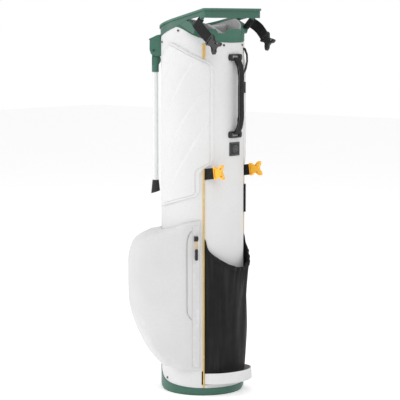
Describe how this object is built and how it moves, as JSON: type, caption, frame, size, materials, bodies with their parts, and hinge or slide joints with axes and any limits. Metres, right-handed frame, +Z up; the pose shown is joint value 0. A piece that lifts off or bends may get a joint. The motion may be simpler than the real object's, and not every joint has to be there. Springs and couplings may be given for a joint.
{
  "type": "golf stand bag",
  "caption": "Slim golf bag with a moulded base and top cuff, padded club wells, fold-out stand legs, a zipped side pocket, a stretch pouch and carry handles.",
  "frame": {"origin": "centre of the base's flat underside, on the tube's axis", "axes": "+Z up the tube, +X towards the spine with the handles, -X towards the stand legs, -Y towards the flank with the zipped pocket"},
  "size_m": [0.2553, 0.2675, 0.88],
  "materials": {
    "green_moulding": "satin",
    "white_fabric": "matte",
    "white_moulded": "satin",
    "grey_padding": "matte",
    "grey_lining": "matte",
    "white_leg": "satin",
    "black_rubber": "matte",
    "yellow_trim": "satin",
    "yellow_plastic": "gloss",
    "black_plastic": "satin",
    "black_webbing": "matte",
    "black_mesh": "matte",
    "dark_steel": "satin"
  },
  "bodies": {
    "bag": {"ball_pocket": "white_fabric", "base_cup": "green_moulding", "base_lift_handle": "white_fabric", "base_rivets": "dark_steel", "body_shell": "white_fabric", "cross_divider_pad": "grey_padding", "cross_divider_sheet": "grey_lining", "cuff_liner": "grey_padding", "cuff_rivets": "dark_steel", "flank_zip_pull": "black_rubber", "glove_patch": "black_webbing", "handle_bottom_bracket": "black_plastic", "handle_screws": "dark_steel", "handle_top_bracket": "black_plastic", "heel_lever_pin": "dark_steel", "label_patch": "black_plastic", "left_anchor_buckle": "yellow_plastic", "left_anchor_webbing": "black_webbing", "left_leg_bracket": "green_moulding", "left_leg_pivot_pin": "dark_steel", "left_piping": "yellow_trim", "left_seam_tab": "yellow_trim", "left_side_panel": "white_moulded", "left_stay_rod": "dark_steel", "leg_side_divider_pad": "grey_padding", "leg_side_divider_sheet": "grey_lining", "pocket_zip_tape": "white_fabric", "pouch_hem": "black_mesh", "right_anchor_buckle": "yellow_plastic", "right_anchor_webbing": "black_webbing", "right_leg_bracket": "green_moulding", "right_leg_pivot_pin": "dark_steel", "right_piping": "yellow_trim", "right_seam_tab": "yellow_trim", "right_side_panel": "white_moulded", "right_stay_rod": "dark_steel", "spine_side_divider_pad": "grey_padding", "spine_side_divider_sheet": "grey_lining", "spine_stay_rod": "dark_steel", "stretch_pouch": "black_mesh", "top_cuff": "green_moulding", "towel_loop": "black_webbing", "trunk_handle_grip": "black_webbing"},
    "left_leg": {"left_leg_socket": "green_moulding", "left_leg_tube": "white_leg", "left_leg_foot": "black_rubber"},
    "right_leg": {"right_leg_socket": "green_moulding", "right_leg_tube": "white_leg", "right_leg_foot": "black_rubber"},
    "pull_rod": {"leg_pull_rod": "dark_steel"},
    "lever": {"heel_lever": "dark_steel"},
    "left_strap": {"left_cuff_strap": "black_webbing", "left_cuff_buckle": "black_plastic"},
    "right_strap": {"right_cuff_strap": "black_webbing", "right_cuff_buckle": "black_plastic"},
    "zip_slider": {"pocket_zip_slider": "black_plastic"},
    "zip_pull": {"zip_pull_cord": "yellow_trim", "zip_pull_grip": "black_rubber"}
  },
  "joints": [
    {"name": "left_leg_swing", "type": "hinge", "parent": "bag", "child": "left_leg", "pos_m": [-0.08755, -0.0684, 0.7851], "axis": [-0.6157, 0.788, 0], "range_deg": [0, 50], "stiffness_Nm_per_rad": 0.25, "springref_deg": -14.32},
    {"name": "right_leg_swing", "type": "hinge", "parent": "bag", "child": "right_leg", "pos_m": [-0.08755, 0.0684, 0.7851], "axis": [0.6157, 0.788, 0], "range_deg": [0, 50], "stiffness_Nm_per_rad": 0.25, "springref_deg": -14.32},
    {"name": "pull_rod_slide", "type": "slide", "parent": "bag", "child": "pull_rod", "axis": [0, 0, -1], "range_m": [0, 0.006]},
    {"name": "heel_lever_rock", "type": "hinge", "parent": "bag", "child": "lever", "pos_m": [-0.06, 0, 0.01], "axis": [0, 1, 0], "range_deg": [0, 15]},
    {"name": "left_strap_swing", "type": "hinge", "parent": "bag", "child": "left_strap", "pos_m": [0.0638, -0.09092, 0.84672], "axis": [-0.6832, 0.0455, -0.7288], "range_deg": [-20, 70]},
    {"name": "right_strap_swing", "type": "hinge", "parent": "bag", "child": "right_strap", "pos_m": [0.0638, 0.09092, 0.84672], "axis": [0.6832, 0.0455, 0.7288], "range_deg": [-30, 20]},
    {"name": "zip_slide", "type": "slide", "parent": "bag", "child": "zip_slider", "axis": [0, 0, -1], "range_m": [0, 0.26]},
    {"name": "zip_pull_hang", "type": "hinge", "parent": "zip_slider", "child": "zip_pull", "pos_m": [0.0594, -0.09248, 0.362], "axis": [-0.6806, -0.7326, 0], "range_deg": [0, 100]}
  ],
  "couplings": [
    {"joint": "right_leg_swing", "follows": "left_leg_swing", "ratio": 1},
    {"joint": "pull_rod_slide", "follows": "left_leg_swing", "m_per_rad": 0.00667},
    {"joint": "heel_lever_rock", "follows": "left_leg_swing", "ratio": 0.278}
  ]
}
